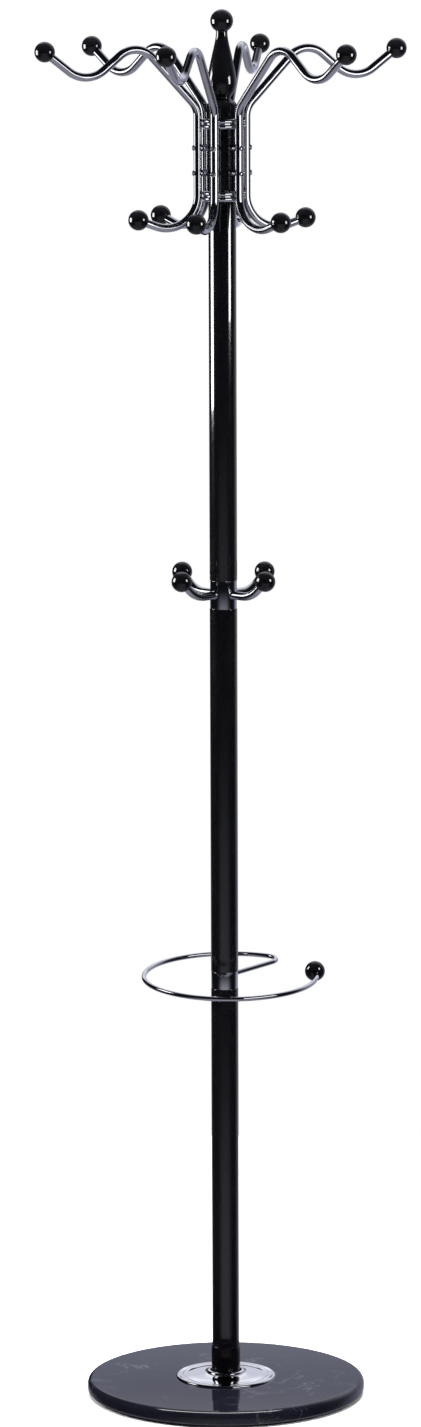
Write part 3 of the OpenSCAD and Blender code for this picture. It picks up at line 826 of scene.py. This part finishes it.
# %% [markdown]
# ## Room
#
# What a mirror shows depends on which way it looks, so the room's colour is worked out from
# the direction. Behind the rack and to the right stands a pale wall, which reaches further
# left and grows brighter higher up. The rest is dark, which keeps the fronts black, apart from
# a grey patch low in the middle, where a floor would be. The camera itself sees plain white.

# %% Room
world = bpy.data.worlds.new("studio_room")
bpy.context.scene.world = world
world.use_nodes = True
tree = world.node_tree
tree.nodes.clear()
way = add_node(tree, "ShaderNodeTexCoord", {}).outputs["Generated"]
axes = add_node(tree, "ShaderNodeSeparateXYZ", {}, {0: way})
behind = add_node(tree, "ShaderNodeMapRange",
                  {"interpolation_type": "SMOOTHSTEP", "From Min": 0.05, "From Max": 0.8},
                  {"Value": axes.outputs["Y"]})
above = add_node(tree, "ShaderNodeMapRange", {"From Min": 0.1, "From Max": 0.2},
                 {"Value": axes.outputs["Z"]})
shifted = add_node(tree, "ShaderNodeMath", {"operation": "MULTIPLY_ADD", 1: 0.45},
                   {0: above.outputs[0], 2: axes.outputs["X"]})
not_left = add_node(tree, "ShaderNodeMapRange",
                    {"interpolation_type": "SMOOTHSTEP", "From Min": 0.0, "From Max": 0.2},
                    {"Value": shifted.outputs[0]})
lit = add_node(tree, "ShaderNodeMath", {"operation": "MULTIPLY"},
               {0: behind.outputs[0], 1: not_left.outputs[0]})
higher = add_node(tree, "ShaderNodeMapRange",
                  {"interpolation_type": "SMOOTHSTEP", "From Min": 0.27, "From Max": 0.5},
                  {"Value": axes.outputs["Z"]})
wall = add_node(tree, "ShaderNodeMix",
                {"data_type": "RGBA", 6: chart("#a6a8ba"), 7: chart("#f0f1f8")},
                {0: higher.outputs[0]})
low_front = add_node(tree, "ShaderNodeMapRange",
                     {"interpolation_type": "SMOOTHSTEP", "From Min": -0.08, "From Max": -0.32},
                     {"Value": axes.outputs["Z"]})
aside = add_node(tree, "ShaderNodeMath", {"operation": "ABSOLUTE"}, {0: axes.outputs["X"]})
in_middle = add_node(tree, "ShaderNodeMapRange",
                     {"interpolation_type": "SMOOTHSTEP", "From Min": 0.9, "From Max": 0.3},
                     {"Value": aside.outputs[0]})
low_middle = add_node(tree, "ShaderNodeMath", {"operation": "MULTIPLY"},
                      {0: low_front.outputs[0], 1: in_middle.outputs[0]})
dark_side = add_node(tree, "ShaderNodeMix",
                     {"data_type": "RGBA", 6: chart("#121317"), 7: chart("#96969f")},
                     {0: low_middle.outputs[0]})
room = add_node(tree, "ShaderNodeMix", {"data_type": "RGBA"},
                {0: lit.outputs[0], 6: dark_side.outputs[2], 7: wall.outputs[2]})
unseen = add_node(tree, "ShaderNodeBackground", {}, {"Color": room.outputs[2]})
seen = add_node(tree, "ShaderNodeBackground", {"Color": (1, 1, 1, 1), "Strength": 1.0})
ray = add_node(tree, "ShaderNodeLightPath", {})
either = add_node(tree, "ShaderNodeMixShader", {},
                  {0: ray.outputs["Is Camera Ray"], 1: unseen.outputs[0], 2: seen.outputs[0]})
add_node(tree, "ShaderNodeOutputWorld", {}, {"Surface": either.outputs[0]})
bpy.context.scene.view_settings.view_transform = "Standard"
print("room ready")

# %% [markdown]
# ## Camera
#
# A long lens from about seven metres keeps the pole's sides parallel. It stands a little
# higher than the rack and tips down, so that the slab shows as an ellipse.

# %% Camera
distance_away, eye_height = 7.4, 2.0
pan, tip, roll_back = 0.131, 8.579, -0.2
lens = bpy.data.cameras.new("studio_camera")
lens.sensor_width = 36.0
lens.lens = 149.08
camera = bpy.data.objects.new("studio_camera", lens)
bpy.context.collection.objects.link(camera)
camera.matrix_world = (Matrix.Translation((0, -distance_away, eye_height))
                       @ Matrix.Rotation(math.radians(pan), 4, "Z")
                       @ Matrix.Rotation(math.radians(90 - tip), 4, "X")
                       @ Matrix.Rotation(math.radians(roll_back), 4, "Z"))
bpy.context.scene.camera = camera
print("camera at", [round(v, 2) for v in camera.location])
